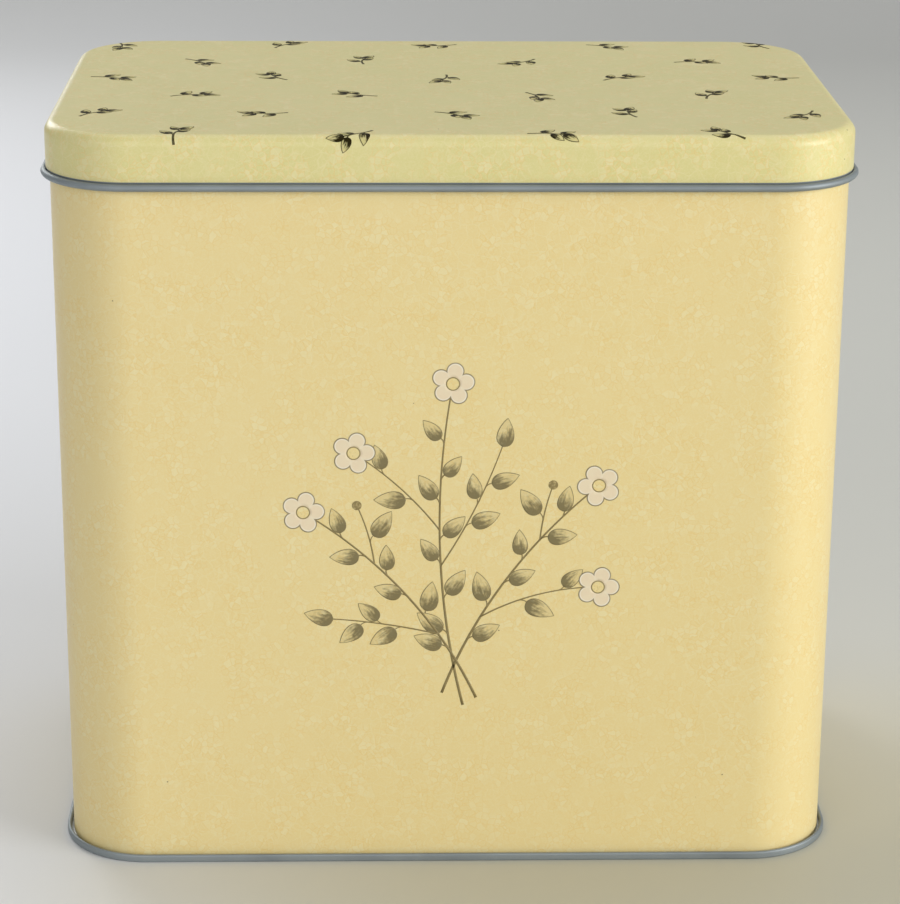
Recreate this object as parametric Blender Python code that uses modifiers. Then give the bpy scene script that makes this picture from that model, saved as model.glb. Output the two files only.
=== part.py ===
"""Bread tin: a tall rounded-corner tinplate box with a slip-over lift-off lid.

The wall is one sheet wrapped round and closed by a flat lock seam at the back. The bottom
panel is rolled over the wall's foot in a double seam. The lid is one pressed sheet. The lid's
edge and the wall's mouth are curled round stiffening wires.

Every sheet piece is a folded profile carried round the same rounded rectangle. A profile
point is (offset, height): offset is measured outward from the wall's outer face, and height
from the surface that the tin stands on. Metres, +Z up, front towards -Y.
"""
import math

import bmesh
import bpy

# Sheet and running gaps
SHEET = 0.0003             # tinplate thickness
CLEARANCE = 0.0003         # gap left between pieces that touch

# Wall, measured over its outer faces
BODY_WIDTH = 0.2932
BODY_DEPTH = 0.1912
BODY_CORNER_R = 0.0309
BODY_HEIGHT = 0.2822       # floor to the top of the curled mouth
SIDE_SEAM_WIDTH = 0.006    # folded lock seam up the middle of the back
SIDE_SEAM_LAYERS = 3       # folds that lie inside the wall
SIDE_SEAM_GROOVE = 0.0006  # width of the line that the fold leaves outside

# Double seam and recessed bottom
SEAM_OUT = 0.00255         # how far the double seam stands out from the wall
SEAM_HEIGHT = 0.003
PANEL_HEIGHT = 0.0045      # top face of the recessed panel
SEAM_BEND_R = 0.0005
HOOK_BEND_R = 0.0003
PANEL_BEND_R = 0.0012

# Lid
LID_FIT = 0.0012           # gap all round between the lid and the wall
LID_DEPTH = 0.0201         # top face to the underside of the curled edge
LID_EDGE_R = 0.0042        # outer radius where the top turns into the skirt
LID_CURL_STAND = 0.0019    # how far the curled edge stands out from the skirt
LID_NECK_RISE = 0.0006     # height over which the skirt runs out into the curl
LID_NECK_ANGLE = 150       # degrees round the curl where the skirt joins it

# Stiffening wires inside the two curled edges
WIRE_DIAMETER = 0.0015

# Smoothness
CORNER_STEPS = 8           # facets in each rounded corner of the outline
BEND_STEPS = 3             # facets in a small bend
EDGE_STEPS = 5             # facets in the lid's top edge
CURL_STEPS = 11            # facets round a curled edge
WIRE_BEVEL_STEPS = 2
SHARP_ANGLE = 40           # degrees; sharper folds are shaded as edges

# Derived sizes
HALF = SHEET / 2
CURL_R = WIRE_DIAMETER / 2 + CLEARANCE + SHEET
CURL_MID_R = CURL_R - HALF


def seat_height():
    """Gap between the mouth's highest line and the lid's inner face.

    The curled mouth meets the lid first in the inner radius of its top edge, unless the
    curl lies further in than that radius reaches.
    """
    inner_r = LID_EDGE_R - SHEET
    across = inner_r - LID_FIT - CURL_R
    if across <= 0:
        return CLEARANCE
    reach = inner_r - CURL_R - CLEARANCE
    return inner_r - CURL_R - math.sqrt(reach ** 2 - across ** 2)


LID_TOP = BODY_HEIGHT + seat_height() + SHEET
MOUTH_CURL = (-CURL_R, BODY_HEIGHT - CURL_R)
LID_SKIRT_OUT = LID_FIT + SHEET
LID_CURL = (LID_SKIRT_OUT + LID_CURL_STAND - CURL_R, LID_TOP - LID_DEPTH + CURL_R)


def clear_scene():
    for obj in list(bpy.data.objects):
        bpy.data.objects.remove(obj, do_unlink=True)


def new_collection(name):
    collection = bpy.data.collections.new(name)
    bpy.context.scene.collection.children.link(collection)
    return collection


def new_material(name, color, roughness, metallic):
    material = bpy.data.materials.new(name)
    material.use_nodes = True
    shader = material.node_tree.nodes["Principled BSDF"]
    shader.inputs["Base Color"].default_value = (*color, 1.0)
    shader.inputs["Roughness"].default_value = roughness
    shader.inputs["Metallic"].default_value = metallic
    return material


def outline(offset, height):
    """Points of the rounded rectangle grown outward by offset, anticlockwise from above."""
    radius = BODY_CORNER_R + offset
    points = []
    for quarter in range(4):
        side_x = 1 if quarter in (0, 3) else -1
        side_y = 1 if quarter in (0, 1) else -1
        centre_x = side_x * (BODY_WIDTH / 2 - BODY_CORNER_R)
        centre_y = side_y * (BODY_DEPTH / 2 - BODY_CORNER_R)
        for step in range(CORNER_STEPS + 1):
            angle = math.pi / 2 * (quarter + step / CORNER_STEPS)
            x = centre_x + radius * math.cos(angle)
            y = centre_y + radius * math.sin(angle)
            points.append((x, y, height))
    return points


def arc(centre, radius, start, end, steps):
    """Profile points on an arc; angles in degrees, anticlockwise from outward."""
    points = []
    for step in range(steps + 1):
        angle = math.radians(start + (end - start) * step / steps)
        points.append((centre[0] + radius * math.cos(angle), centre[1] + radius * math.sin(angle)))
    return points


def bend(corner, turn_from, turn_to, radius, steps=BEND_STEPS):
    """Square fold at corner, rounded to radius, between two unit directions along the sheet."""
    centre = (
        corner[0] - radius * turn_from[0] + radius * turn_to[0],
        corner[1] - radius * turn_from[1] + radius * turn_to[1],
    )
    start = math.degrees(math.atan2(-turn_to[1], -turn_to[0]))
    end = math.degrees(math.atan2(turn_from[1], turn_from[0]))
    sweep = (end - start + 180) % 360 - 180
    return arc(centre, radius, start, start + sweep, steps)


UP = (0, 1)
DOWN = (0, -1)
IN = (-1, 0)


def wall_profile():
    """Foot hook, flange, upright wall, then the mouth curled inward over its wire."""
    hook = SEAM_OUT - SHEET - CLEARANCE - HALF
    flange = SHEET + CLEARANCE + HALF
    curl_end = math.degrees(math.acos(1 - (SHEET + CLEARANCE) / CURL_R))
    points = [(hook, SEAM_HEIGHT - SHEET - 2 * CLEARANCE)]
    points += bend((hook, flange), DOWN, IN, HOOK_BEND_R)
    points += bend((-HALF, flange), IN, UP, SEAM_BEND_R - HALF)
    points += arc(MOUTH_CURL, CURL_MID_R, 0, 360 - curl_end, CURL_STEPS)
    return points


def bottom_profile():
    """Cover hook, over the wall's flange, under the foot, up inside the wall, then the panel."""
    seam_mid = SEAM_OUT - HALF
    hook = seam_mid - 2 * (SHEET + CLEARANCE)
    fold_r = (seam_mid - hook) / 2
    fold = (hook + fold_r, SEAM_HEIGHT - HALF - fold_r)
    hook_end = 2 * (SHEET + CLEARANCE) + HALF
    inside = -SHEET - CLEARANCE - HALF
    points = [(hook, hook_end)]
    points += arc(fold, fold_r, 180, 0, 2 * BEND_STEPS)
    points += bend((seam_mid, HALF), DOWN, IN, SEAM_BEND_R)
    points += bend((inside, HALF), IN, UP, SEAM_BEND_R)
    points += bend((inside, PANEL_HEIGHT - HALF), UP, IN, PANEL_BEND_R)
    return points


def lid_profile():
    """Edge curled outward round its wire, upright skirt, then the rounded top edge."""
    skirt = LID_FIT + HALF
    curl_x, curl_z = LID_CURL
    end = math.degrees(math.acos((LID_SKIRT_OUT + CLEARANCE - curl_x) / CURL_R))
    neck_z = curl_z + CURL_R + LID_NECK_RISE
    points = arc(LID_CURL, CURL_MID_R, 360 + end, LID_NECK_ANGLE, CURL_STEPS)
    points.append((skirt, neck_z))
    points += bend((skirt, LID_TOP - HALF), UP, IN, LID_EDGE_R - HALF, EDGE_STEPS)
    return points


def place_ring(ring, station, offset, height):
    points = outline(offset, height)
    for vert in ring:
        vert.co = points[vert[station]]


def ring_edges(geometry, ring):
    members = set(ring)
    return [edge for edge in geometry if isinstance(edge, bmesh.types.BMEdge)
            and edge.verts[0] in members and edge.verts[1] in members]


def carry_round(name, profile, filled):
    """Extrude one ring of the outline along the profile; a filled piece ends in a flat panel."""
    bm = bmesh.new()
    station = bm.verts.layers.int.new("station")
    count = 4 * (CORNER_STEPS + 1)
    ring = bmesh.ops.create_circle(bm, segments=count, radius=BODY_CORNER_R)["verts"]
    for number, vert in enumerate(ring):
        vert[station] = number
    edges = list(bm.edges)
    place_ring(ring, station, *profile[0])
    for offset, height in profile[1:]:
        geometry = bmesh.ops.extrude_edge_only(bm, edges=edges)["geom"]
        ring = [item for item in geometry if isinstance(item, bmesh.types.BMVert)]
        edges = ring_edges(geometry, ring)
        place_ring(ring, station, offset, height)
    if filled:
        bmesh.ops.contextual_create(bm, geom=edges)
    bmesh.ops.recalc_face_normals(bm, faces=bm.faces)
    mesh = bpy.data.meshes.new(name)
    bm.to_mesh(mesh)
    bm.free()
    mesh.shade_smooth()
    mesh.set_sharp_from_angle(angle=math.radians(SHARP_ANGLE))
    return mesh


def sheet_piece(name, profile, filled, collection, material):
    """A folded sheet: the profile's middle surface thickened evenly to both sides."""
    obj = bpy.data.objects.new(name, carry_round(name, profile, filled))
    collection.objects.link(obj)
    obj.data.materials.append(material)
    solidify = obj.modifiers.new("sheet", "SOLIDIFY")
    solidify.thickness = SHEET
    solidify.offset = 0
    solidify.use_even_offset = True
    return obj


def wire_piece(name, centre, collection, material):
    """A round wire bent into one closed ring that follows the outline inside a curl."""
    curve = bpy.data.curves.new(name, "CURVE")
    curve.dimensions = "3D"
    curve.bevel_depth = WIRE_DIAMETER / 2
    curve.bevel_resolution = WIRE_BEVEL_STEPS
    points = outline(*centre)
    spline = curve.splines.new("POLY")
    spline.points.add(len(points) - 1)
    for point, place in zip(spline.points, points):
        point.co = (*place, 1.0)
    spline.use_cyclic_u = True
    curve.materials.append(material)
    obj = bpy.data.objects.new(name, curve)
    collection.objects.link(obj)
    return obj


def box_tool(name, low, high, collection):
    """A guide box between two corners, used only to join or cut."""
    bm = bmesh.new()
    bmesh.ops.create_cube(bm, size=1.0)
    for vert in bm.verts:
        vert.co = [a + (b - a) * (t + 0.5) for a, b, t in zip(low, high, vert.co)]
    mesh = bpy.data.meshes.new(name)
    bm.to_mesh(mesh)
    bm.free()
    obj = bpy.data.objects.new(name, mesh)
    obj.hide_render = True
    obj.display_type = "WIRE"
    collection.objects.link(obj)
    return obj


def add_boolean(obj, tool, operation):
    boolean = obj.modifiers.new(tool.name, "BOOLEAN")
    boolean.operation = operation
    boolean.solver = "EXACT"
    boolean.object = tool


def add_side_seam(wall, tools):
    """Flat lock seam up the back: folded layers inside, one fine line outside."""
    outer = BODY_DEPTH / 2
    low_z = PANEL_HEIGHT + CLEARANCE
    high_z = BODY_HEIGHT - 2 * CURL_R - CLEARANCE
    inner = outer - SHEET - SIDE_SEAM_LAYERS * SHEET
    half = SIDE_SEAM_WIDTH / 2
    layers = box_tool(
        "side_seam_layers", (-half, inner, low_z), (half, outer - HALF, high_z), tools)
    add_boolean(wall, layers, "UNION")
    line = box_tool(
        "side_seam_line",
        (half - SIDE_SEAM_GROOVE, outer - HALF / 2, low_z),
        (half, outer + HALF, high_z),
        tools,
    )
    add_boolean(wall, line, "DIFFERENCE")


def build():
    clear_scene()
    tin = new_collection("bread_tin")
    tools = new_collection("bread_tin_tools")
    printed = new_material("printed_tinplate", (0.72, 0.62, 0.36), 0.35, 0.0)
    printed_lid = new_material("printed_tinplate_lid", (0.70, 0.61, 0.37), 0.33, 0.0)
    bare = new_material("bare_tinplate", (0.56, 0.55, 0.52), 0.30, 1.0)
    steel_wire = new_material("steel_wire", (0.35, 0.35, 0.36), 0.45, 1.0)

    wall = sheet_piece("body_wall", wall_profile(), False, tin, printed)
    add_side_seam(wall, tools)
    sheet_piece("bottom_panel", bottom_profile(), True, tin, bare)
    wire_piece("body_rim_wire", MOUTH_CURL, tin, steel_wire)

    lid_joint = bpy.data.objects.new("lid_lift", None)
    tin.objects.link(lid_joint)
    lid = sheet_piece("lid", lid_profile(), True, tin, printed_lid)
    lid_wire = wire_piece("lid_rim_wire", LID_CURL, tin, steel_wire)
    for piece in (lid, lid_wire):
        piece.parent = lid_joint


build()
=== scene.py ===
"""Studio model of a printed bread tin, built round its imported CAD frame.

Every sheet piece is a folded section carried round one rounded rectangle. The print lies on
the tin as thin ink films: a flower spray on the front and small sprigs all over the lid.
Both are grown from a few stems by rule.
Metres, +Z up, front towards -Y.
"""
import math

import bmesh
import bpy
import numpy as np
from bpy.props import FloatProperty, FloatVectorProperty, IntProperty, PointerProperty
from mathutils import Matrix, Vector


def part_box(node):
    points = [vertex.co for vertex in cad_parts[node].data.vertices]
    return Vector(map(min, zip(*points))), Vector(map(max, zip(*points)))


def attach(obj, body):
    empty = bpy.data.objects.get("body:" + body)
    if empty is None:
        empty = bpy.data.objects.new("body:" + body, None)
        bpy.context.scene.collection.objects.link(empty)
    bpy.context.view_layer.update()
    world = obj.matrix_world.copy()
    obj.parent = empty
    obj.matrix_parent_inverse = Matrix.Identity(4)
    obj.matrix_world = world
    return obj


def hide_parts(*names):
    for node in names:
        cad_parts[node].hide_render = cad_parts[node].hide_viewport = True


bl_info = {
    "name": "Bread tin",
    "version": (1, 0, 0),
    "blender": (4, 5, 0),
    "location": "View3D > Sidebar > Bread tin",
    "description": "Builds a printed bread tin with a lift-off lid and its small studio",
    "category": "Object",
}

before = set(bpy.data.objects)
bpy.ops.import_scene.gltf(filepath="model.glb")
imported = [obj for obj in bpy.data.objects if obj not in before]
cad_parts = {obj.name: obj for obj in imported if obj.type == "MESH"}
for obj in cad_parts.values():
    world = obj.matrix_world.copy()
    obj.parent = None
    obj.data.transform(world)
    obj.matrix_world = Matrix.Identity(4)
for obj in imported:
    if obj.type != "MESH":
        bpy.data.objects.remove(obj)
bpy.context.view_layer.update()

MM = 0.001
GAP = 0.3 * MM             # kept between pieces that touch
SEAM_BEND = 0.5 * MM
HOOK_BEND = 0.3 * MM
PANEL_BEND = 1.2 * MM
LID_DEPTH = 20.1 * MM
LID_CURL_STAND = 1.87 * MM
LID_INK_ROOM = 0.1 * MM    # left above the lid's top face for its ink
LID_NECK_RISE = 0.6 * MM
LID_NECK_ANGLE = 150       # degrees round the curl where the skirt joins it
SEAM_HALF = 3.0 * MM       # half the width of the lock seam up the back
SEAM_LAYERS = 0.9 * MM     # how far its folds lie inside the wall
SEAM_LINE = 0.15 * MM      # depth of the line that it leaves outside
SEAM_SLOT = np.array((2.4, 2.5, 2.9, 3.0)) * MM    # where that line falls, stays deep and rises
SEAM_RAMP = 0.1 * MM       # width of the step at the side of its folds
SEAM_STEP = 0.15 * MM      # height of the step at its two ends
PANEL_RING = (0.80, 0.825, 0.875, 0.90)    # where it rises, stays high and falls
PANEL_RING_RISE = 0.6 * MM
SHARP = math.radians(40)
WELD = 1e-7

SEAM_OUT = 2.55 * MM
UP = np.array((0.0, 1.0))
DOWN = -UP
IN = np.array((-1.0, 0.0))

BOTTOM_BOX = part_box("bottom_panel")
WALL_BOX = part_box("body_wall")
LID_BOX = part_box("lid")


def metres(name, description, default):
    """A size that the user can change."""
    return FloatProperty(name=name, description=description, default=default, unit="LENGTH")


def watts(name, description, default):
    """A light's power that the user can change."""
    return FloatProperty(name=name, description=description, default=default, unit="POWER")


def tint(name, description, default):
    """A colour that the user can change."""
    return FloatVectorProperty(
        name=name, description=description, default=default, subtype="COLOR", size=3)


class TinSizes(bpy.types.PropertyGroup):
    """Sizes of the tin and of the ink on it."""

    half_width: metres("Half width", "Middle to the wall's outer face, across",
                       BOTTOM_BOX[1].x - SEAM_OUT)
    half_depth: metres("Half depth", "Middle to the wall's outer face, front to back",
                       BOTTOM_BOX[1].y - SEAM_OUT)
    corner: metres("Corner radius", "Radius of the wall's upright corners", 30.9 * MM)
    mouth: metres("Mouth height", "Floor to the top of the curled mouth", WALL_BOX[1].z)
    lid_top: metres("Lid height", "Floor to the lid's top face, under the ink",
                    LID_BOX[1].z - LID_INK_ROOM)
    sheet: metres("Sheet", "Thickness of the tinplate", 0.3 * MM)
    lid_fit: metres("Lid fit", "Gap all round between lid and wall", 1.2 * MM)
    lid_edge: metres("Lid edge radius", "Radius where the lid's top turns into its skirt", 4.2 * MM)
    seam_out: metres("Double seam", "How far the bottom seam stands out from the wall", SEAM_OUT)
    seam_height: metres("Double seam height", "Height of the bottom seam", 3.0 * MM)
    panel: metres("Panel height", "Top face of the recessed bottom panel", 4.5 * MM)
    wire: metres("Wire", "Diameter of the wires inside the two curls", 1.5 * MM)
    wave: metres("Sheet wave", "How far the flat sheets dip between their edges", 0.14 * MM)
    ink: metres("Ink film", "Thickness of a printed ink film", 0.03 * MM)
    corner_steps: IntProperty(
        name="Corner steps", description="Facets in each upright corner", default=26, min=8)


class TinColours(bpy.types.PropertyGroup):
    """Colours of the tin's print and metal, as linear red, green and blue."""

    ground: tint("Ground", "Enamel on the wall", (0.800, 0.640, 0.290))
    ground_pale: tint("Pale ground", "Paler flakes between the crackle", (0.830, 0.740, 0.430))
    ground_line: tint("Crackle", "Thin lines of the crackle", (0.780, 0.540, 0.170))
    lid_ground: tint("Lid ground", "Enamel on the lid", (0.700, 0.635, 0.270))
    leaf: tint("Leaf ink", "Darkest ink of the leaves", (0.130, 0.105, 0.045))
    stem: tint("Stem ink", "Ink of the stems", (0.200, 0.150, 0.055))
    petal: tint("Petal", "Ink of the petals", (0.810, 0.690, 0.480))
    petal_rim: tint("Petal rim", "Paler band inside a petal's outline", (0.900, 0.860, 0.740))
    sprig: tint("Sprig ink", "Ink of the sprigs on the lid", (0.022, 0.016, 0.003))
    tinplate: tint("Tinplate", "Bare tinplate inside and underneath", (0.720, 0.725, 0.715))
    # An even, darker and duller grey than the inner tinplate, for the curls and the bottom seam.
    edge: tint("Dull edge", "Worn tinplate of the curls and the bottom seam", (0.300, 0.335, 0.350))
    steel: tint("Steel wire", "Wire inside the curls", (0.150, 0.150, 0.155))
    # Apart from the paper's pale base, these four tones are painted light and shade: painted light
    # makes the left lighter and cooler, painted shade darkens the right and the far end, and a
    # painted shadow lies on the paper before the tin, warmed as if by yellow light bounced off its
    # wall.
    paper_lit_left: tint("Paper left", "Studio paper at its left side", (0.820, 0.830, 0.860))
    paper_shaded_right: tint("Paper right", "Studio paper at its right side", (0.640, 0.640, 0.590))
    paper_shaded_back: tint("Paper back", "Studio paper at its far end", (0.530, 0.530, 0.515))
    paper_front_shadow: tint("Paper front", "Studio paper before the tin", (0.550, 0.530, 0.420))


class StudioLight(bpy.types.PropertyGroup):
    """Powers of the studio's soft lights."""

    key: watts("Key", "Soft light from the right", 39.0)
    fill: watts("Fill", "Large weak light from the front left", 20.0)
    top: watts("Top", "Wide light over the paper behind the tin", 11.5)
    paper: watts("Paper", "Light from behind, over the left side", 7.0)
    ambient: FloatProperty(name="Ambient", description="Strength of the even surrounding light",
                           default=0.32)


# Sections: points (offset outward from the wall's outer face, height) along a sheet's middle


def arc(centre, radius, start, end, steps):
    """Points at equal angles round a centre, from start to end in degrees."""
    angle = np.radians(np.linspace(start, end, steps + 1))
    return np.column_stack(
        (centre[0] + radius * np.cos(angle), centre[1] + radius * np.sin(angle)))


def fold(corner, before, after, radius, steps=6):
    """Quarter circle that rounds a square corner between two directions along the sheet."""
    centre = np.asarray(corner) - radius * before + radius * after
    start = math.degrees(math.atan2(-after[1], -after[0]))
    end = math.degrees(math.atan2(before[1], before[0]))
    return arc(centre, radius, start, start + (end - start + 180) % 360 - 180, steps)


def straight(start, end, steps):
    """Inner points at equal steps on the line between two points."""
    share = np.linspace(0, 1, steps + 1)[1:-1, None]
    return np.asarray(start) + (np.asarray(end) - np.asarray(start)) * share


def curl_radius(sizes):
    return sizes.wire / 2 + GAP + sizes.sheet


def mouth_curl(sizes):
    """Middle of the wall's curled mouth, as (offset, height)."""
    radius = curl_radius(sizes)
    return (-radius, sizes.mouth - radius)


def lid_curl(sizes):
    """Middle of the lid's curled edge, as (offset, height)."""
    radius = curl_radius(sizes)
    return (sizes.lid_fit + sizes.sheet + LID_CURL_STAND - radius,
            sizes.lid_top - LID_DEPTH + radius)


def seam_span(sizes):
    """Lowest and highest point of the lock seam up the back."""
    return sizes.panel + GAP, sizes.mouth - 2 * curl_radius(sizes) - GAP


def wall_section(sizes):
    """Foot hook, flange, upright wall, then an arc for the mouth curled inward."""
    half = sizes.sheet / 2
    hook = sizes.seam_out - sizes.sheet - GAP - half
    flange = sizes.sheet + GAP + half
    radius = curl_radius(sizes)
    mouth = mouth_curl(sizes)
    end = math.degrees(math.acos(1 - (sizes.sheet + GAP) / radius))
    low, high = seam_span(sizes)
    heights = np.concatenate(((low - SEAM_STEP, low), np.linspace(low, high, 24)[1:-1],
                              (high, high + SEAM_STEP)))
    upright = np.column_stack((np.full(len(heights), -half), heights))
    return np.vstack((
        [(hook, sizes.seam_height - sizes.sheet - 2 * GAP)],
        fold((hook, flange), DOWN, IN, HOOK_BEND),
        fold((-half, flange), IN, UP, SEAM_BEND - half),
        upright,
        arc(mouth, radius - half, 0, 360 - end, 30),
    ))


def bottom_section(sizes):
    """Cover hook, half circle over the flange, under the foot, then up to the panel."""
    half = sizes.sheet / 2
    outer = sizes.seam_out - half
    hook = outer - 2 * (sizes.sheet + GAP)
    radius = (outer - hook) / 2
    inner = -sizes.sheet - GAP - half
    return np.vstack((
        [(hook, 2 * (sizes.sheet + GAP) + half)],
        arc((hook + radius, sizes.seam_height - half - radius), radius, 180, 0, 12),
        fold((outer, half), DOWN, IN, SEAM_BEND),
        fold((inner, half), IN, UP, SEAM_BEND),
        fold((inner, sizes.panel - half), UP, IN, PANEL_BEND),
    ))


def lid_section(sizes):
    """Edge curled outward, a short neck, the upright skirt, then the rounded top edge."""
    half = sizes.sheet / 2
    skirt = sizes.lid_fit + half
    radius = curl_radius(sizes)
    curl = lid_curl(sizes)
    end = math.degrees(math.acos((sizes.lid_fit + sizes.sheet + GAP - curl[0]) / radius))
    neck = (skirt, curl[1] + radius + LID_NECK_RISE)
    top = sizes.lid_top - half
    edge = sizes.lid_edge - half
    return np.vstack((
        arc(curl, radius - half, 360 + end, LID_NECK_ANGLE, 32),
        [neck],
        straight(neck, (skirt, top - edge), 5),
        fold((skirt, top), UP, IN, edge, 14),
    ))


def sheet_rows(section, sheet, panel_steps=0):
    """Rows (offset, height, scale, side) once round a sheet.

    The middle line moves half a thickness to each side, with mitred corners. Side is 1 on the
    right-hand skin and -1 on the left. With panel steps, the far end shrinks to one point.
    """
    along = np.diff(section, axis=0)
    along /= np.linalg.norm(along, axis=1, keepdims=True)
    mitre = np.vstack((along[:1], along)) + np.vstack((along, along[-1:]))
    normal = np.column_stack((mitre[:, 1], -mitre[:, 0]))
    normal *= 2 / (mitre ** 2).sum(axis=1, keepdims=True)
    scale = np.linspace(1, 0, panel_steps + 1)[1:]
    skins = []
    for side in (1, -1):
        points = section + side * normal * sheet / 2
        points = np.vstack((points, np.repeat(points[-1:], panel_steps, axis=0)))
        shrink = np.concatenate((np.ones(len(section)), scale))
        skins.append(np.column_stack((points, shrink, np.full(len(points), side))))
    if panel_steps:
        return np.vstack((skins[1][::-1], skins[0]))
    return np.vstack((skins[0], skins[1][::-1]))


def tin_outline(sizes):
    """Points and outward normals clockwise round the wall's outer face, seen from above.

    Four straight sides joined by quarter circles; the back has extra points at its seam.
    """
    flat_x = sizes.half_width - sizes.corner
    flat_y = sizes.half_depth - sizes.corner
    folds = SEAM_HALF + SEAM_RAMP
    seam = np.array((-folds, -SEAM_HALF, *SEAM_SLOT, folds))
    back = np.unique(np.concatenate((np.linspace(-flat_x, flat_x, 22), seam)).round(6))
    front = np.linspace(flat_x, -flat_x, 22)
    side = np.linspace(flat_y, -flat_y, 13)
    turn = np.radians(np.linspace(90, 0, sizes.corner_steps + 1)[1:-1])
    parts = []
    for quarter in range(4):
        across, run = ((0, back), (1, side), (0, front), (1, -side))[quarter]
        direction = (1, 1, -1, -1)[quarter]
        straight_run = np.zeros((len(run), 4))
        straight_run[:, across] = run
        straight_run[:, 1 - across] = direction * (sizes.half_depth, sizes.half_width)[across]
        straight_run[:, 3 - across] = direction
        angle = turn - quarter * math.pi / 2
        cos, sin = np.cos(angle), np.sin(angle)
        middle_x = (1, 1, -1, -1)[quarter] * flat_x
        middle_y = (1, -1, -1, 1)[quarter] * flat_y
        corner = np.column_stack((
            middle_x + sizes.corner * cos, middle_y + sizes.corner * sin, cos, sin))
        parts += [straight_run, corner]
    return np.vstack(parts)


def swept(rows, outline):
    """Grid of points: each outline point moved out by a row's offset, then scaled to its height."""
    offset, height, scale = rows[:, 0, None], rows[:, 1, None], rows[:, 2, None]
    x = scale * (outline[:, 0] + offset * outline[:, 2])
    y = scale * (outline[:, 1] + offset * outline[:, 3])
    return np.stack((x, y, np.broadcast_to(height, x.shape)), axis=-1)


# Waves and seams of the real sheets


def smooth(value):
    """Cubic ease from 0 to 1."""
    value = np.clip(value, 0, 1)
    return value * value * (3 - 2 * value)


def wall_dip(sizes, across, height, flat_half):
    """Inward dip of a flat side: slow sines, faded out towards its edges."""
    fade = smooth((flat_half - np.abs(across)) / (35 * MM))
    fade = fade * smooth((height - 8 * MM) / (40 * MM))
    fade = fade * smooth((sizes.mouth - 24 * MM - height) / (40 * MM))
    wave = np.sin(across * 31 + 1.3) * np.sin(height * 23 + 0.6) + np.sin(across * 17 - 2 * height)
    return sizes.wave * fade * (0.5 + 0.25 * wave)


def lid_dip(sizes, x, y):
    """Downward dip of the lid's top: slow sines, faded out towards its edges."""
    fade = smooth((sizes.half_width - 14 * MM - np.abs(x)) / (40 * MM))
    fade = fade * smooth((sizes.half_depth - 14 * MM - np.abs(y)) / (40 * MM))
    wave = np.sin(x * 27 + 0.4) * np.sin(y * 34 + 1.1) + np.sin(x * 13 + y * 19)
    return sizes.wave * fade * (0.5 + 0.25 * wave)


def wall_shift(sizes, points, outline, side):
    """Moves wall points inward along the outline's normal: dips, then the back's lock seam."""
    x, y, height = points[..., 0], points[..., 1], points[..., 2]
    flat_x = sizes.half_width - sizes.corner
    flat_y = sizes.half_depth - sizes.corner
    dip = np.where(np.abs(y) > flat_y, wall_dip(sizes, x, height, flat_x),
                   wall_dip(sizes, y, height, flat_y))
    low, high = seam_span(sizes)
    tall = np.interp(height, (low - SEAM_STEP, low, high, high + SEAM_STEP), (0, 1, 1, 0))
    layers = np.interp(np.abs(x), (SEAM_HALF, SEAM_HALF + SEAM_RAMP), (1, 0))
    line = np.interp(x, SEAM_SLOT, (0, 1, 1, 0), 0, 0)
    seam = np.where(side[:, None] > 0, line * SEAM_LINE, layers * SEAM_LAYERS)
    dip = dip + np.where(y > flat_y, seam * tall, 0)
    shifted = points.copy()
    shifted[..., 0] -= dip * outline[:, 2]
    shifted[..., 1] -= dip * outline[:, 3]
    return shifted


# Meshes


def grid_quads(rows, columns, wrap_rows, wrap_columns, items=1):
    """Corner numbers of the faces between neighbours on grids of points, turned to face out."""
    row = np.arange(rows if wrap_rows else rows - 1)[:, None]
    column = np.arange(columns if wrap_columns else columns - 1)[None, :]
    next_row, next_column = (row + 1) % rows, (column + 1) % columns
    quads = np.stack((
        row * columns + column, next_row * columns + column,
        next_row * columns + next_column, row * columns + next_column), axis=-1).reshape(-1, 4)
    start = np.arange(items)[:, None, None] * rows * columns
    return (quads + start).reshape(-1, 4)


def new_piece(name, points, quads, body, materials, face_material=None, marks=None,
              stands_for=()):
    """Puts a grid into a mesh, welds seams and poles, and ties the piece to its CAD body."""
    mesh = bpy.data.meshes.new(name)
    mesh.from_pydata(points.reshape(-1, 3).tolist(), [], quads.tolist())
    for material in materials:
        mesh.materials.append(material)
    if face_material is not None:
        mesh.polygons.foreach_set("material_index", face_material.astype(np.int32).ravel())
    for mark, values in (marks or {}).items():
        layer = mesh.attributes.new(mark, "FLOAT", "POINT")
        layer.data.foreach_set("value", values.astype(np.float32).ravel())
    bm = bmesh.new()
    bm.from_mesh(mesh)
    bmesh.ops.remove_doubles(bm, verts=bm.verts, dist=WELD)
    bm.to_mesh(mesh)
    bm.free()
    mesh.shade_smooth()
    mesh.set_sharp_from_angle(angle=SHARP)
    piece = bpy.data.objects.new(name, mesh)
    bpy.context.scene.collection.objects.link(piece)
    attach(piece, body)
    if stands_for:
        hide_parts(*stands_for)
    return piece


def ring_wire(name, centre, sizes, body, materials, stands_for):
    """A circle of the wire's size carried round the outline at (offset, height)."""
    circle = arc(centre, sizes.wire / 2, 0, -360, 16)[:-1]
    rows = np.column_stack((circle, np.ones(len(circle))))
    outline = tin_outline(sizes)
    points = swept(rows, outline)
    quads = grid_quads(len(rows), len(outline), True, True)
    return new_piece(name, points, quads, body, materials, stands_for=stands_for)


# Ink films: drawing millimetres laid on the front or on the lid

STEM_LIFT, LEAF_LIFT, PETAL_LIFT, EYE_LIFT = 0.005, 0.012, 0.04, 0.06    # over the sheet
FILM_STEP = 0.004    # between five neighbours of one film, which may overlap
SPRIG_GLOSS = 0.05


def on_front(sizes, across, up, lift):
    """Points on the front wall, lifted outward."""
    dip = wall_dip(sizes, across, up, sizes.half_width - sizes.corner)
    return np.stack((across, -sizes.half_depth + dip - lift, up), axis=-1)


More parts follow.
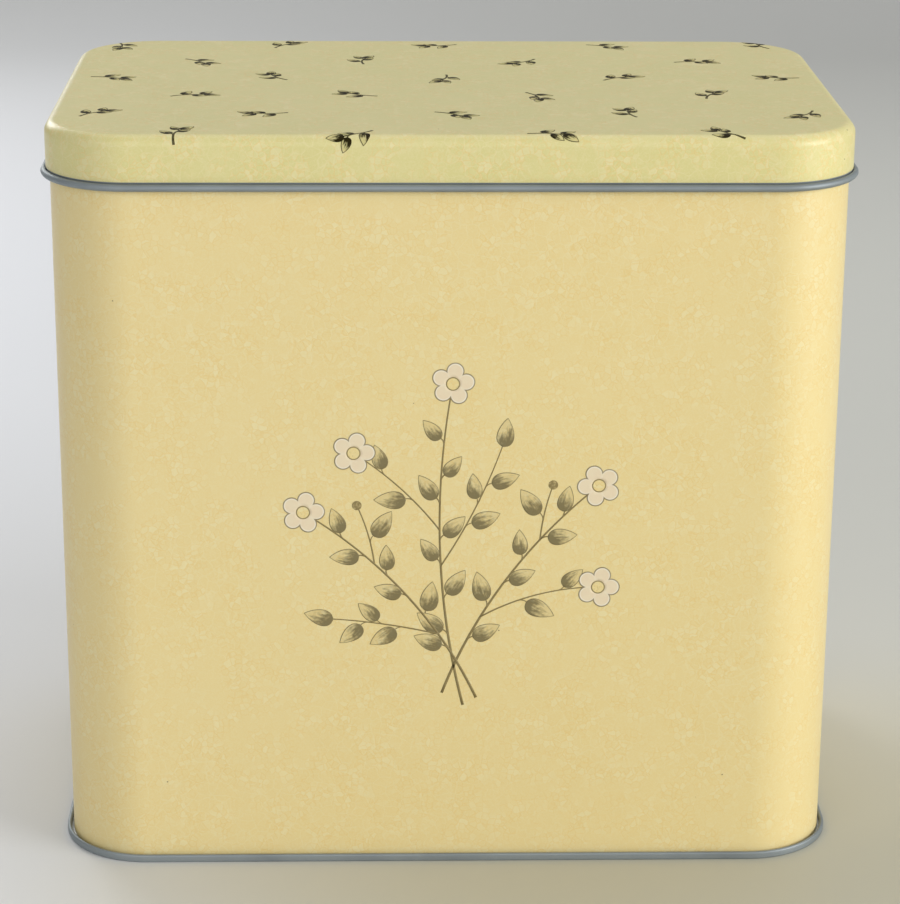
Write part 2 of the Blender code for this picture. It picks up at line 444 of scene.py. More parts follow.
def on_lid(sizes, x, y, lift):
    """Points on the lid, folded over its edge on every side and corner.

    Inside the flat top's rounded rectangle a point stays where it is. Outside it, the distance
    to that outline runs along the edge's quarter circle and then down the skirt, square to it.
    """
    radius = sizes.lid_edge
    outer = sizes.lid_fit + sizes.sheet
    round_off = sizes.corner + outer - radius
    beyond_x = np.abs(x) - (sizes.half_width - sizes.corner)
    beyond_y = np.abs(y) - (sizes.half_depth - sizes.corner)
    out_x, out_y = np.maximum(beyond_x, 0), np.maximum(beyond_y, 0)
    length = np.maximum(np.hypot(out_x, out_y), WELD)
    past = np.maximum(length - round_off, 0)
    angle = np.minimum(past / radius, math.pi / 2)
    down = np.maximum(past - radius * math.pi / 2, 0)
    shift = (radius + lift) * np.sin(angle) - past
    z = sizes.lid_top - radius + (radius + lift) * np.cos(angle) - down
    laid_x = x + np.sign(x) * shift * out_x / length
    laid_y = y + np.sign(y) * shift * out_y / length
    return np.stack((laid_x, laid_y, z - lid_dip(sizes, laid_x, laid_y)), axis=-1)


def turned(points, angle):
    """Drawing points turned by an angle in degrees."""
    turn = math.radians(angle)
    cos, sin = math.cos(turn), math.sin(turn)
    return points @ np.array(((cos, sin), (-sin, cos)))


STEM_ROWS = 28


def stem_line(root, heading, length, bend):
    """Points and headings along a stem whose heading turns evenly, by bend degrees in all."""
    headings = heading + bend * np.linspace(0, 1, STEM_ROWS)
    turn = np.radians(headings)
    ahead = np.column_stack((np.cos(turn), np.sin(turn)))
    steps = (ahead[1:] + ahead[:-1]) / 2 * length / (STEM_ROWS - 1)
    return np.vstack((np.zeros(2), np.cumsum(steps, axis=0))) + root, headings


def stem_grid(line, headings, root_width, tip_width):
    """Ribbon along a stem, from root width to tip width, as (rows, 3, 2)."""
    turn = np.radians(headings)
    left = np.column_stack((-np.sin(turn), np.cos(turn)))
    width = np.linspace(root_width, tip_width, STEM_ROWS)
    across = np.array((-0.5, 0.0, 0.5))
    return line[:, None, :] + left[:, None, :] * (width[:, None] * across)[..., None]


LEAF_ROWS = 20
LEAF_ACROSS = np.array((-1.0, -0.86, -0.66, -0.36, 0.0, 0.36, 0.66, 0.86, 1.0))
LEAF_BASE, LEAF_TIP = 0.5, 0.9     # powers that round a leaf's base and sharpen its tip
LEAF_WIDTH = 0.6                   # as a share of its length
LEAF_BEND = 0.15                   # sideways reach of its tip, as a share of its length


def leaf_grid(base, angle, length, side):
    """Pointed oval leaf and its marks; side is 1 on the left of its stem and -1 on the right.

    Half width is u**LEAF_BASE * (1-u)**LEAF_TIP, scaled to the leaf's width; the midrib bends
    back towards the stem with u squared. The shade falls from base to tip and across the leaf.
    """
    u = np.linspace(0, 1, LEAF_ROWS)[:, None]
    belly = LEAF_BASE / (LEAF_BASE + LEAF_TIP)
    most = belly ** LEAF_BASE * (1 - belly) ** LEAF_TIP
    inside = np.clip(u, 0.004, 0.996)
    half = LEAF_WIDTH * length / 2 * inside ** LEAF_BASE * (1 - inside) ** LEAF_TIP / most
    bent = half * LEAF_ACROSS - side * LEAF_BEND * length * u ** 2
    local = np.stack((u * length + 0 * LEAF_ACROSS, bent), axis=-1)
    grid = turned(local, angle) + base
    edge = half * (1 - np.abs(LEAF_ACROSS))
    shade = 1.05 - 1.15 * u + 0.3 * side * LEAF_ACROSS
    return grid, edge, np.clip(shade, 0, 1), u + 0 * LEAF_ACROSS, LEAF_ACROSS + 0 * u


LEAF_SPREAD = 50     # degrees between a stem and the leaves beside it
TWIG_LENGTH = 0.3    # as a share of the leaf's length


def leafy_stem(line, headings, widths, span, leaves, first_side, leaf_length, end_leaf):
    """One stem with leaves on alternate sides, each at the end of a twig that bends out to it.

    Leaves stand at equal steps over a span of the stem, get smaller towards its tip, and differ
    a little by slow sines of their number.
    """
    stems = [stem_grid(line, headings, *widths)]
    blades = []
    for number, share in enumerate(np.linspace(*span, leaves)):
        row = round(share * (STEM_ROWS - 1))
        side = first_side if number % 2 == 0 else -first_side
        spread = side * (LEAF_SPREAD + 8 * math.sin(2.3 * number + leaves))
        length = leaf_length * (1.08 - 0.22 * share + 0.07 * math.sin(1.9 * number + leaves))
        twig, bends = stem_line(line[row], headings[row], TWIG_LENGTH * length, spread)
        stems.append(stem_grid(twig, bends, widths[1], 0.85 * widths[1]))
        blades.append(leaf_grid(twig[-1], headings[row] + spread, length, side))
    if end_leaf:
        blades.append(leaf_grid(line[-1], headings[-1], leaf_length, first_side))
    return stems, blades


def leaf_marks(leaves):
    """Stacks leaves into points and marks, each leaf with a tone number of its own."""
    grids, edges, shades, along, across = (np.array(part) for part in zip(*leaves))
    tone = np.arange(len(leaves))[:, None, None] * 1.7 + np.zeros(edges.shape)
    marks = {"edge": edges, "shade": shades, "along": along, "across": across, "tone": tone}
    return grids, marks


PETAL_TURNS = 100
PETAL_OUT = 0.595           # middle of a petal's circle, as a share of the flower's radius


def flower_grid(x, y, turn, radius, hole):
    """Five-petal flower: the outer line follows five circles set round the middle.

    The edge mark is the distance inside the nearest petal's circle.
    """
    theta = np.linspace(0, 2 * math.pi, PETAL_TURNS, endpoint=False)[None, :]
    petal = 2 * math.pi / 5
    near = (theta + petal / 2) % petal - petal / 2
    lobe = (1 - PETAL_OUT) * radius
    middle = PETAL_OUT * radius
    rim = middle * np.cos(near) + np.sqrt(lobe ** 2 - (middle * np.sin(near)) ** 2)
    share = np.array((0, 0.25, 0.5, 0.7, 0.82, 0.9, 0.96, 1.0))[:, None]
    reach = hole + (rim - hole) * share
    angle = theta + math.radians(turn)
    grid = np.stack((x + reach * np.cos(angle), y + reach * np.sin(angle)), axis=-1)
    apart = np.hypot(reach * np.cos(near) - middle, reach * np.sin(near))
    edge = np.where(reach > 0.35 * radius, lobe - apart, lobe)
    return grid, np.maximum(edge, 0), share + 0 * theta


def disc_grid(x, y, radius):
    """Round spot: rings shrinking to its middle; the edge mark is the distance to its rim."""
    theta = np.linspace(0, 2 * math.pi, 40, endpoint=False)[None, :]
    reach = radius * np.array((0, 0.4, 0.7, 0.84, 0.92, 1.0))[:, None]
    grid = np.stack((x + reach * np.cos(theta), y + reach * np.sin(theta)), axis=-1)
    return grid, radius - reach + 0 * theta


# The spray on the front, in millimetres from the middle and from the floor. Each stem: what it
# grows from (a point, or another stem and how far along it), its heading in degrees (from level,
# or from that stem), length, bend, leaves, first leaf's side, and what it ends in.
SPRAY = {
    "tall": ((5, 64), 104, 128, -24, 7, 1, "flower"),
    "left": ((10, 67), 114, 100, 34, 6, 1, "flower"),
    "right": ((-3, 69), 70, 102, -30, 6, -1, "flower"),
    "high_left": (("tall", 0.54), 36, 44, 20, 2, 1, "flower"),
    "high_right": (("tall", 0.43), -36, 52, 14, 3, -1, "leaf"),
    "low_left": (("left", 0.31), 42, 40, 10, 3, 1, "leaf"),
    "low_right": (("right", 0.32), -30, 46, -30, 2, -1, "flower"),
    "bud_left": (("left", 0.66), -40, 24, 18, 1, -1, "berry"),
    "bud_right": (("right", 0.70), 36, 22, -14, 1, 1, "berry"),
}
MAIN_WIDTHS, MAIN_SPAN = (1.05, 0.55), (0.24, 0.80)
SHOOT_WIDTHS, SHOOT_SPAN = (0.6, 0.42), (0.34, 0.66)
SPRAY_LEAF = 11.0
FLOWER_RADIUS = 8.2
FLOWER_EYE = 2.6
BERRY_RADIUS = 1.8


def grow_spray():
    """Stems, leaves, flowers and berries of the spray, each stem after the one it grows from."""
    lines, stems, blades, flowers, berries = {}, [], [], [], []
    for name, (origin, heading, length, bend, leaves, side, end) in SPRAY.items():
        widths, span = MAIN_WIDTHS, MAIN_SPAN
        if isinstance(origin[0], str):
            parent, headings = lines[origin[0]]
            row = round(origin[1] * (STEM_ROWS - 1))
            origin, heading = parent[row], headings[row] + heading
            widths, span = SHOOT_WIDTHS, SHOOT_SPAN
        lines[name] = line, headings = stem_line(origin, heading, length, bend)
        more_stems, more_blades = leafy_stem(line, headings, widths, span, leaves, side,
                                             SPRAY_LEAF, end == "leaf")
        stems += more_stems
        blades += more_blades
        if end == "flower":
            flowers.append((*line[-1], headings[-1]))
        if end == "berry":
            berries.append(line[-1])
    return stems, blades, flowers, berries


# One sprig, grown by the same rule; the lid repeats it in evenly spaced, staggered rows of five
# and four. Millimetres and degrees.
SPRIG_HEADING, SPRIG_LENGTH, SPRIG_BEND = 100, 13.0, -40
SPRIG_WIDTHS, SPRIG_SPAN = (0.95, 0.65), (0.30, 0.80)
SPRIG_LEAVES, SPRIG_LEAF = 3, 6.6
SPRIG_PITCH, ROW_PITCH = 66.0, 35.0
FRONT_ROW = -92.0           # on the lid's front edge, so that it folds over
SPRIG_ROWS = 6
SPRIG_TURN = 137.5          # each sprig is turned on from the one before


def grow_sprigs():
    """Stems and leaves of every sprig on the lid."""
    line, headings = stem_line((0.0, -SPRIG_LENGTH / 2), SPRIG_HEADING, SPRIG_LENGTH, SPRIG_BEND)
    one_stems, one_leaves = leafy_stem(line, headings, SPRIG_WIDTHS, SPRIG_SPAN, SPRIG_LEAVES,
                                       1, SPRIG_LEAF, True)
    stems, leaves = [], []
    for row in range(SPRIG_ROWS):
        count = 4 + row % 2
        for number in range(count):
            place = ((number - (count - 1) / 2) * SPRIG_PITCH, FRONT_ROW + row * ROW_PITCH)
            turn = SPRIG_TURN * (5 * row + number)
            stems += [turned(grid, turn) + place for grid in one_stems]
            leaves += [(turned(grid, turn) + place, *marks) for grid, *marks in one_leaves]
    return stems, leaves


def lay_film(name, grids, lay, lift, body, slot, material, sizes, marks=None, wrap=False):
    """Lays drawing grids (items, rows, columns, 2) on the tin as one film, thickened outward."""
    items, rows, columns, _ = grids.shape
    step = FILM_STEP * MM * (np.arange(items) % 5)[:, None, None]
    points = lay(sizes, grids[..., 0] * MM, grids[..., 1] * MM, lift * MM + step)
    quads = grid_quads(rows, columns, False, wrap, items)
    piece = new_piece(name, points, quads, body, [material], marks=marks)
    film = piece.modifiers.new("ink", "SOLIDIFY")
    film.thickness = sizes.ink
    film.offset = 1.0


# Materials


class Tone:
    """A number that changes over a surface; arithmetic on it adds Math nodes."""

    def __init__(self, finish, socket):
        self.finish = finish
        self.socket = socket

    def math(self, operation, *values):
        node = self.finish.node("ShaderNodeMath", {"operation": operation},
                                dict(enumerate(values)))
        return Tone(self.finish, node.outputs[0])

    def __add__(self, other):
        return self.math("ADD", self, other)

    __radd__ = __add__

    def __sub__(self, other):
        return self.math("SUBTRACT", self, other)

    def __rsub__(self, other):
        return self.math("SUBTRACT", other, self)

    def __mul__(self, other):
        return self.math("MULTIPLY", self, other)

    __rmul__ = __mul__

    def over(self, low, high):
        """0 below low and 1 above high, eased between; the other way round if low > high."""
        down = low > high
        ends = {"From Min": min(low, high), "From Max": max(low, high),
                "To Min": float(down), "To Max": float(not down), "Value": self}
        node = self.finish.node("ShaderNodeMapRange", {"interpolation_type": "SMOOTHSTEP"}, ends)
        return Tone(self.finish, node.outputs[0])


class Finish:
    """One material and the nodes that paint it."""

    def __init__(self, name, roughness, metallic=0.0, coat=0.0, coat_roughness=0.1):
        self.material = bpy.data.materials.new(name)
        self.material.use_nodes = True
        self.tree = self.material.node_tree
        self.shader = self.tree.nodes["Principled BSDF"]
        self.set("Roughness", roughness)
        self.set("Metallic", metallic)
        self.set("Coat Weight", coat)
        self.set("Coat Roughness", coat_roughness)
        self.place = self.node("ShaderNodeTexCoord", {}, {}).outputs["Object"]

    def feed(self, socket, value):
        if isinstance(value, Tone):
            value = value.socket
        if isinstance(value, bpy.types.NodeSocket):
            self.tree.links.new(value, socket)
        elif isinstance(value, tuple) and len(socket.default_value) == 4:
            socket.default_value = (*value[:3], 1.0)
        else:
            socket.default_value = value

    def node(self, kind, settings, inputs):
        node = self.tree.nodes.new(kind)
        for name, value in settings.items():
            setattr(node, name, value)
        for name, value in inputs.items():
            self.feed(node.inputs[name], value)
        return node

    def set(self, name, value):
        self.feed(self.shader.inputs[name], value)

    def mark(self, name):
        """A number stored on the mesh."""
        node = self.node("ShaderNodeAttribute", {"attribute_name": name}, {})
        return Tone(self, node.outputs["Fac"])

    def noise(self, scale, detail=2.0, vector=None):
        node = self.node("ShaderNodeTexNoise", {}, {
            "Vector": vector or self.place, "Scale": scale, "Detail": detail})
        return Tone(self, node.outputs["Fac"])

    def mix(self, amount, first, second):
        """First colour where amount is 0, second where it is 1."""
        node = self.node("ShaderNodeMix", {"data_type": "RGBA"}, {0: amount, 6: first, 7: second})
        return node.outputs[2]

    def cells(self, scale, feature, vector):
        return self.node("ShaderNodeTexVoronoi", {"feature": feature}, {
            "Vector": vector, "Scale": scale})

    def bump(self, height, distance, strength=1.0):
        node = self.node("ShaderNodeBump", {}, {
            "Height": height, "Distance": distance, "Strength": strength})
        self.set("Normal", node.outputs[0])


def crackled_ground(finish, ground, pale, line):
    """Enamel ground: a mosaic of slightly paler flakes between fine warm crackle lines."""
    wander = finish.node("ShaderNodeTexNoise", {}, {
        "Vector": finish.place, "Scale": 260.0, "Detail": 2.0}).outputs["Color"]
    place = finish.node("ShaderNodeVectorMath", {"operation": "MULTIPLY_ADD"}, {
        0: wander, 1: (0.0022, 0.0022, 0.0022), 2: finish.place}).outputs[0]
    flakes = finish.cells(440.0, "F1", place).outputs["Color"]
    flake = finish.node("ShaderNodeSeparateColor", {}, {0: flakes})
    flake_tone = Tone(finish, flake.outputs[0])
    fine = Tone(finish, finish.cells(440.0, "DISTANCE_TO_EDGE", place).outputs["Distance"])
    wide = Tone(finish, finish.cells(210.0, "DISTANCE_TO_EDGE", place).outputs["Distance"])
    clouds = finish.noise(22.0, 3.0)
    patches = finish.noise(95.0, 2.0)
    grain = finish.noise(1900.0, 2.0)
    fine_line = fine.over(0.12, 0.02) * patches.over(0.36, 0.6)
    wide_line = wide.over(0.05, 0.01) * clouds.over(0.62, 0.45)
    colour = finish.mix(flake_tone.over(0.35, 1.0) * patches.over(0.28, 0.66) * 0.5, ground, pale)
    colour = finish.mix(fine_line * 0.4, colour, line)
    colour = finish.mix(wide_line * 0.26, colour, pale)
    colour = finish.mix(clouds.over(0.35, 0.75) * 0.12, colour, pale)
    colour = finish.mix(grain.over(0.4, 0.72) * 0.22, colour, pale)
    return colour, fine_line + wide_line, flake_tone


def specks(finish, colour, place, speck):
    """Rare dark pinholes in the enamel."""
    cells = finish.cells(58.0, "F1", place)
    near = Tone(finish, cells.outputs["Distance"]).over(0.022, 0.012)
    return finish.mix(near * 0.8, colour, speck)


def enamel(name, ground, colours, coat=0.2):
    """Printed and lacquered tinplate."""
    finish = Finish(name, 0.42, coat=coat, coat_roughness=0.22)
    colour, lines, flake = crackled_ground(
        finish, tuple(ground), tuple(colours.ground_pale), tuple(colours.ground_line))
    colour = specks(finish, colour, finish.place, (0.16, 0.11, 0.05))
    finish.set("Base Color", colour)
    finish.set("Roughness", 0.38 + 0.1 * flake + 0.05 * finish.noise(60.0))
    finish.bump(flake * 0.4 - lines + finish.noise(900.0) * 0.5, 0.00002, 0.5)
    return finish.material


def ink(name, ground, colours, coverage, ink_colour, gloss=0.35):
    """Ink over the enamel: coverage is a function that paints how much of the ink shows."""
    finish = Finish(name, 0.45)
    finish.set("Specular IOR Level", gloss)
    colour, lines, _ = crackled_ground(
        finish, tuple(ground), tuple(colours.ground_pale), tuple(colours.ground_line))
    amount = coverage(finish)
    finish.set("Base Color", finish.mix(amount, colour, tuple(ink_colour)))
    finish.set("Roughness", 0.42 + 0.08 * finish.noise(400.0))
    finish.bump(finish.noise(900.0) - lines, 0.00002, 0.4)
    return finish.material


LEAF_VEIL = 0.14     # ink left even on a leaf's palest part


def leaf_coverage(strength, outline):
    """Brush strokes along the leaf, dark at its base, with a thin dark outline."""
    def paint(finish):
        along, across, tone = finish.mark("along"), finish.mark("across"), finish.mark("tone")
        strokes = finish.node("ShaderNodeCombineXYZ", {}, {
            0: along * 3.2 + tone, 1: across * 3.6, 2: tone})
        streak = finish.noise(1.0, 4.0, strokes.outputs[0])
        mottle = finish.noise(850.0, 2.0)
        shade = finish.mark("shade") + (streak - 0.5) * 1.2 + (mottle - 0.5) * 0.5
        body = shade.over(0.15, 0.85) * strength
        rim = finish.mark("edge").over(outline, outline * 0.4) * 0.85
        return body.math("MAXIMUM", body, rim) * (1 - LEAF_VEIL) + LEAF_VEIL
    return paint


def stem_coverage(finish):
    """Nearly solid ink with a little wear."""
    return 0.82 + 0.16 * finish.noise(500.0)


def petal_finish(colours):
    """Cream petals: grey-brown outline, a pale line inside it, and faint pink clouds."""
    finish = Finish("petal_ink", 0.45)
    finish.set("Specular IOR Level", 0.35)
    edge = finish.mark("edge")
    warm = finish.noise(260.0, 2.0).over(0.35, 0.7)
    colour = finish.mix(warm * 0.5, tuple(colours.petal), (0.80, 0.64, 0.44))
    reach = finish.mark("along")
    pale = edge.over(1.0, 0.6) * (0.25 + 0.75 * reach.over(0.6, 0.95))
    colour = finish.mix(pale * 0.7, colour, tuple(colours.petal_rim))
    outline = edge.over(0.55, 0.3) * reach.over(0.62, 0.8) * (0.6 + 0.5 * finish.noise(220.0))
    colour = finish.mix(outline, colour, tuple(colours.stem))
    finish.set("Base Color", colour)
    finish.set("Roughness", 0.42 + 0.08 * finish.noise(400.0))
    finish.bump(finish.noise(900.0), 0.00002, 0.4)
    return finish.material


def eye_coverage(finish):
    """Brown ring round the flower's eye, with a few dots inside."""
    edge = finish.mark("edge")
    ring = edge.over(0.5, 0.36)
    dots = finish.noise(1500.0, 1.0).over(0.62, 0.72) * 0.25
    return ring.math("MAXIMUM", ring * 0.85, dots)


def berry_coverage(finish):
    """Dark berry with a lighter spot."""
    return 0.9 - 0.35 * finish.noise(900.0).over(0.45, 0.7)


def bare_metal(name, colour, roughness=0.48, metallic=1.0):
    """Rolled tinplate: fine grain, faint clouds of stain and small scratches in the gloss."""
    finish = Finish(name, roughness, metallic=metallic)
    stretch = finish.node("ShaderNodeMapping", {}, {
        "Vector": finish.place, "Scale": (60.0, 60.0, 900.0)})
    grain = finish.noise(1.0, 3.0, stretch.outputs[0])
    clouds = finish.noise(35.0, 4.0)
    dark = tuple(0.72 * part for part in colour)
    finish.set("Base Color", finish.mix(clouds.over(0.4, 0.75) * 0.6, tuple(colour), dark))
    finish.set("Roughness", roughness - 0.06 + 0.12 * grain + 0.1 * clouds)
    finish.bump(grain, 0.00002, 0.35)
    return finish.material


def studio_paper(colours):
    """Pale paper with a soft tooth, and painted light and shade: lighter at the left, a little
    darker to the right, at the back and in front, where a warm painted shadow lies before the tin.
    """
    finish = Finish("studio_paper", 0.6)
    split = finish.node("ShaderNodeSeparateXYZ", {}, {0: finish.place})
    across, back = Tone(finish, split.outputs[0]), Tone(finish, split.outputs[1])
    # Painted light and shade across the paper: lit at the left, shaded at the right.
    tone = finish.mix(across.over(-0.35, 0.3), tuple(colours.paper_lit_left),
                      tuple(colours.paper_shaded_right))
    # Painted shade towards the far end.
    tone = finish.mix(back.over(0.7, 2.2), tone, tuple(colours.paper_shaded_back))
    # Painted warm shadow on the paper just before the tin.
    tone = finish.mix(across.over(-0.22, 0.05) * back.over(0.15, -0.12), tone,
                      tuple(colours.paper_front_shadow))
    tooth = finish.noise(700.0, 2.0)
    finish.set("Base Color", finish.mix(tooth * 0.06, tone, (0.5, 0.5, 0.5)))
    finish.bump(tooth, 0.0001, 0.05)
    return finish.material


# Operators


def shared(name, make):
    """The material of that name, made on first use."""
    return bpy.data.materials.get(name) or make()


EDGE_METAL = 0.6    # how much of the curls' and seam's darker grey tinplate still shines as metal
PRINTED, BARE, EDGE = 0, 1, 2


def sheet_metals(colours):
    """Bare tinplate and its dull edges, in the order of their slots after a printed face."""
    return [
        shared("bare_tinplate", lambda: bare_metal("bare_tinplate", colours.tinplate, 0.36)),
        shared("dull_edge", lambda: bare_metal("dull_edge", colours.edge, 0.5, EDGE_METAL)),
    ]


class BREADTIN_OT_wall(bpy.types.Operator):
    """Wall: one sheet carried round the outline, hooked at the foot and curled at the mouth"""

    bl_idname = "bread_tin.wall"
    bl_label = "Wall"

    def execute(self, context):
        sizes, colours = context.scene.tin_sizes, context.scene.tin_colours
        rows = sheet_rows(wall_section(sizes), sizes.sheet)
        outline = tin_outline(sizes)
        points = wall_shift(sizes, swept(rows, outline), outline, rows[:, 3])
        quads = grid_quads(len(rows), len(outline), True, True)
        height = (rows[:, 1] + np.roll(rows[:, 1], -1)) / 2
        curl = mouth_curl(sizes)[1]
        printed = (rows[:, 3] > 0) & (height > sizes.seam_height / 2)
        printed &= height < curl + curl_radius(sizes) / 2
        printed &= rows[:, 0] > -1.2 * curl_radius(sizes)
        edge = (height > curl - curl_radius(sizes)) & ~printed
        metal = np.where(printed, PRINTED, np.where(edge, EDGE, BARE))
        materials = [enamel("enamel_wall", colours.ground, colours), *sheet_metals(colours)]
        new_piece("tin_wall", points, quads, "container", materials,
                  np.repeat(metal, len(outline)),
                  stands_for=("body_wall",))
        return {"FINISHED"}


class BREADTIN_OT_bottom(bpy.types.Operator):
    """Bottom: seam hook, recessed panel and its shallow pressed ring"""

    bl_idname = "bread_tin.bottom"
    bl_label = "Bottom"

    def execute(self, context):
        sizes, colours = context.scene.tin_sizes, context.scene.tin_colours
        rows = sheet_rows(bottom_section(sizes), sizes.sheet, 40)
        ring = np.interp(rows[:, 2], PANEL_RING, (0, 1, 1, 0))
        rows[:, 1] += PANEL_RING_RISE * smooth(ring)
        outline = tin_outline(sizes)
        points = swept(rows, outline)
        quads = grid_quads(len(rows), len(outline), False, True)
        seam = (rows[1:, 2] == 1) & (rows[1:, 0] > -GAP)
        new_piece("tin_bottom", points, quads, "container",
                  sheet_metals(colours), np.repeat(seam, len(outline)),
                  stands_for=("bottom_panel",))
        return {"FINISHED"}


class BREADTIN_OT_lid(bpy.types.Operator):
    """Lid: curled edge, skirt, rounded top edge and top panel"""

    bl_idname = "bread_tin.lid"
    bl_label = "Lid"

    def execute(self, context):
        sizes, colours = context.scene.tin_sizes, context.scene.tin_colours
        rows = sheet_rows(lid_section(sizes), sizes.sheet, 26)
        outline = tin_outline(sizes)
        points = swept(rows, outline)
        points[..., 2] -= lid_dip(sizes, points[..., 0], points[..., 1])
        quads = grid_quads(len(rows), len(outline), False, True)
        neck = lid_curl(sizes)[1] + curl_radius(sizes) + LID_NECK_RISE / 2
        height = (rows[1:, 1] + rows[:-1, 1]) / 2
        metal = np.where(height < neck, EDGE, np.where(rows[1:, 3] < 0, BARE, PRINTED))
        materials = [enamel("enamel_lid", colours.lid_ground, colours), *sheet_metals(colours)]
        new_piece("tin_lid", points, quads, "cover", materials,
                  np.repeat(metal, len(outline)),
                  stands_for=("lid",))
        return {"FINISHED"}


class BREADTIN_OT_wires(bpy.types.Operator):
    """Wires inside the curled mouth and the lid's curled edge"""

    bl_idname = "bread_tin.wires"
    bl_label = "Wires"

    def execute(self, context):
        sizes, colours = context.scene.tin_sizes, context.scene.tin_colours
        steel = shared("steel_wire", lambda: bare_metal("steel_wire", colours.steel, 0.45))
        ring_wire("mouth_wire", mouth_curl(sizes), sizes, "container", [steel],
                  ("body_rim_wire",))
        ring_wire("lid_edge_wire", lid_curl(sizes), sizes, "cover", [steel], ("lid_rim_wire",))
        return {"FINISHED"}


class BREADTIN_OT_spray(bpy.types.Operator):
    """Flower spray on the front: stems, leaves, petals, eyes and berries"""

    bl_idname = "bread_tin.spray"
    bl_label = "Front spray"

    def execute(self, context):
        sizes, colours = context.scene.tin_sizes, context.scene.tin_colours
        front = ("container", "printed_wall")
        stems, leaves, flowers, berries = grow_spray()
        lay_film("spray_stems", np.array(stems), on_front, STEM_LIFT, *front,
                 ink("stem_ink", colours.ground, colours, stem_coverage, colours.stem), sizes)
        grids, marks = leaf_marks(leaves)
        lay_film("spray_leaves", grids, on_front, LEAF_LIFT, *front,
                 ink("leaf_ink", colours.ground, colours, leaf_coverage(0.85, 0.4), colours.leaf),
                 sizes, marks)
        grids, edges, along = zip(*[flower_grid(x, y, turn, FLOWER_RADIUS, FLOWER_EYE - 0.5)
                                    for x, y, turn in flowers])
        lay_film("spray_petals", np.array(grids), on_front, PETAL_LIFT, *front,
                 petal_finish(colours), sizes,
                 {"edge": np.array(edges), "along": np.array(along)}, wrap=True)
        grids, edges = zip(*[disc_grid(x, y, FLOWER_EYE) for x, y, _ in flowers])
        lay_film("spray_eyes", np.array(grids), on_front, EYE_LIFT, *front,
                 ink("eye_ink", colours.ground, colours, eye_coverage, colours.stem),
                 sizes, {"edge": np.array(edges)}, wrap=True)
        grids, edges = zip(*[disc_grid(x, y, BERRY_RADIUS) for x, y in berries])
        lay_film("spray_berries", np.array(grids), on_front, LEAF_LIFT, *front,
                 ink("berry_ink", colours.ground, colours, berry_coverage, colours.stem),
                 sizes, {"edge": np.array(edges)}, wrap=True)
        return {"FINISHED"}


class BREADTIN_OT_sprigs(bpy.types.Operator):
    """Small sprigs in staggered rows over the lid and its front edge"""

    bl_idname = "bread_tin.sprigs"
    bl_label = "Lid sprigs"

    def execute(self, context):
        sizes, colours = context.scene.tin_sizes, context.scene.tin_colours
        cover = ("cover", "printed_lid")
        stems, leaves = grow_sprigs()
        lay_film("sprig_stems", np.array(stems), on_lid, STEM_LIFT, *cover,
                 ink("sprig_stem_ink", colours.lid_ground, colours, stem_coverage, colours.sprig,
                     SPRIG_GLOSS), sizes)
        grids, marks = leaf_marks(leaves)
        lay_film("sprig_leaves", grids, on_lid, LEAF_LIFT, *cover,
                 ink("sprig_leaf_ink", colours.lid_ground, colours, leaf_coverage(1.3, 0.5),
                     colours.sprig, SPRIG_GLOSS), sizes, marks)
        return {"FINISHED"}


def soft_light(name, place, aim, width, height, power):
    """A rectangle of light at place, turned towards aim."""
    light = bpy.data.lights.new(name, "AREA")
    light.shape = "RECTANGLE"
    light.size = width
    light.size_y = height
    light.energy = power
    lamp = bpy.data.objects.new(name, light)
    bpy.context.scene.collection.objects.link(lamp)
    back = np.array(place, float) - np.array(aim, float)
    back /= np.linalg.norm(back)
    across = np.cross((0.0, 0.0, 1.0), back)
    across /= np.linalg.norm(across)
    place_object(lamp, place, across, np.cross(back, across), back)


def place_object(thing, place, right, up, back):
    """Sets an object's place and its three axes."""
    matrix = np.eye(4)
    matrix[:3, 0], matrix[:3, 1], matrix[:3, 2], matrix[:3, 3] = right, up, back, place
    thing.matrix_world = Matrix(matrix.tolist())


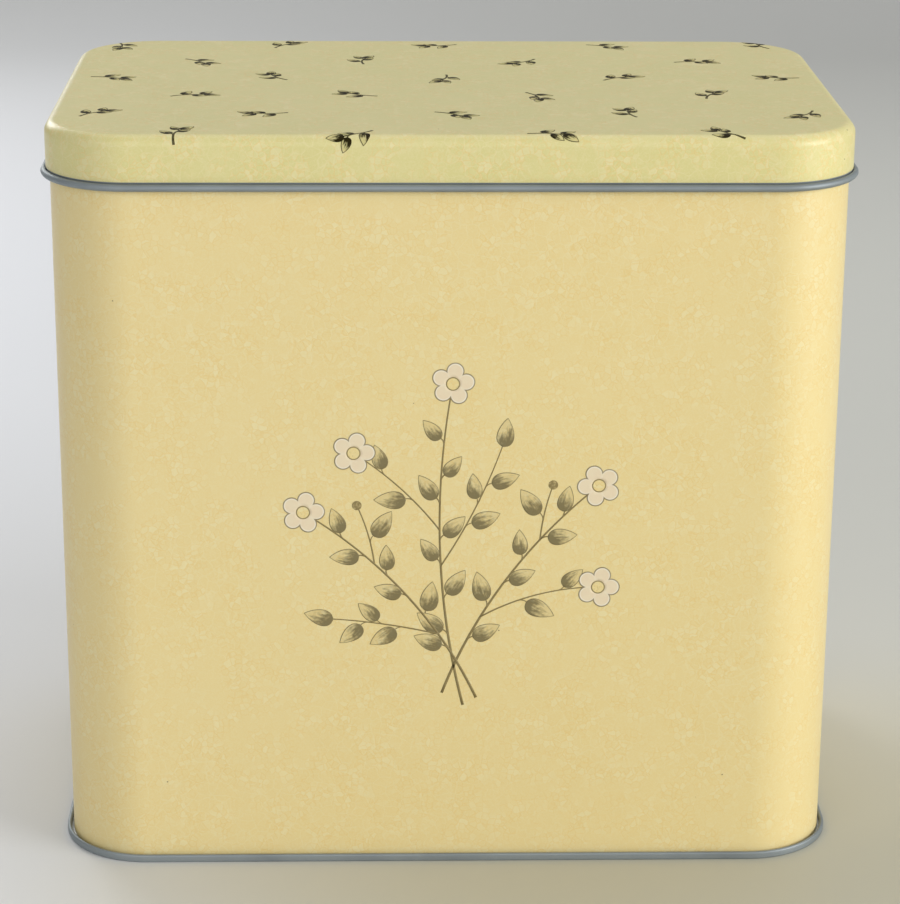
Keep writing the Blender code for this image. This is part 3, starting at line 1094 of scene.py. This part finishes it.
class BREADTIN_OT_studio(bpy.types.Operator):
    """Pale sweep, soft lights and the camera"""

    bl_idname = "bread_tin.studio"
    bl_label = "Studio"

    def execute(self, context):
        scene = context.scene
        light, colours = scene.tin_light, scene.tin_colours
        self.make_sweep(colours)
        tin = (0, 0, 0.15)
        soft_light("key_light", (2.03, -1.12, 0.77), tin, 1.4, 1.2, light.key)
        soft_light("fill_light", (-0.84, -2.30, 1.04), tin, 2.6, 1.8, light.fill)
        soft_light("top_light", (0, 0.7, 1.9), (0, 0.6, 0), 2.0, 1.8, light.top)
        soft_light("paper_light", (-0.9, 1.5, 0.8), (-0.15, 0.1, 0.2), 0.6, 0.6, light.paper)
        world = bpy.data.worlds.new("studio")
        world.use_nodes = True
        background = world.node_tree.nodes["Background"]
        background.inputs["Color"].default_value = (0.96, 0.98, 1.0, 1.0)
        background.inputs["Strength"].default_value = light.ambient
        scene.world = world
        scene.view_settings.view_transform = "Standard"
        self.make_camera(scene)
        return {"FINISHED"}

    def make_sweep(self, colours):
        """Floor and backdrop: a straight line, a quarter circle and a straight line, widened."""
        bend = arc((1.6, 0.8), 0.8, -90, 0, 24)
        line = np.vstack(((-3.0, 0.0), bend, (2.4, 3.0)))
        across = np.linspace(-4, 4, 9)
        points = np.stack(np.broadcast_arrays(across[None, :], line[:, 0, None],
                                              line[:, 1, None]), axis=-1)
        mesh = bpy.data.meshes.new("studio_sweep")
        quads = grid_quads(len(line), len(across), False, False)[:, ::-1]
        mesh.from_pydata(points.reshape(-1, 3).tolist(), [], quads.tolist())
        mesh.shade_smooth()
        mesh.materials.append(studio_paper(colours))
        sweep = bpy.data.objects.new("studio_sweep", mesh)
        bpy.context.scene.collection.objects.link(sweep)

    def make_camera(self, scene):
        """Camera a little left of the middle, looking down at the front."""
        yaw, pitch, roll = math.radians(1.54), math.radians(18.19), math.radians(0.37)
        forward = np.array((math.sin(yaw) * math.cos(pitch), math.cos(yaw) * math.cos(pitch),
                            -math.sin(pitch)))
        right = np.array((math.cos(yaw), -math.sin(yaw), 0.0))
        up = np.cross(right, forward)
        data = bpy.data.cameras.new("camera")
        data.lens = 114.93
        data.clip_start = 0.01
        camera = bpy.data.objects.new("camera", data)
        scene.collection.objects.link(camera)
        place_object(camera, (-0.0275, -1.1037, 0.4962),
                     math.cos(roll) * right + math.sin(roll) * up,
                     math.cos(roll) * up - math.sin(roll) * right, -forward)
        scene.camera = camera


class BREADTIN_PT_panel(bpy.types.Panel):
    """Sizes, colours and steps of the bread tin"""

    bl_idname = "BREADTIN_PT_panel"
    bl_label = "Bread tin"
    bl_space_type = "VIEW_3D"
    bl_region_type = "UI"
    bl_category = "Bread tin"

    def draw(self, context):
        for group in (context.scene.tin_sizes, context.scene.tin_colours,
                      context.scene.tin_light):
            box = self.layout.box()
            for name in group.__annotations__:
                box.prop(group, name)
        for step in STEPS:
            self.layout.operator(step.bl_idname)


GROUPS = {"tin_sizes": TinSizes, "tin_colours": TinColours, "tin_light": StudioLight}
STEPS = (BREADTIN_OT_studio, BREADTIN_OT_wall, BREADTIN_OT_bottom, BREADTIN_OT_lid,
         BREADTIN_OT_wires, BREADTIN_OT_spray, BREADTIN_OT_sprigs)
CLASSES = (*GROUPS.values(), *STEPS, BREADTIN_PT_panel)


def register():
    for cls in CLASSES:
        bpy.utils.register_class(cls)
    for name, group in GROUPS.items():
        setattr(bpy.types.Scene, name, PointerProperty(type=group))


def unregister():
    for name in GROUPS:
        delattr(bpy.types.Scene, name)
    for cls in reversed(CLASSES):
        bpy.utils.unregister_class(cls)


def main():
    register()
    for step in STEPS:
        family, name = step.bl_idname.split(".")
        getattr(getattr(bpy.ops, family), name)()


if __name__ == "__main__":
    main()
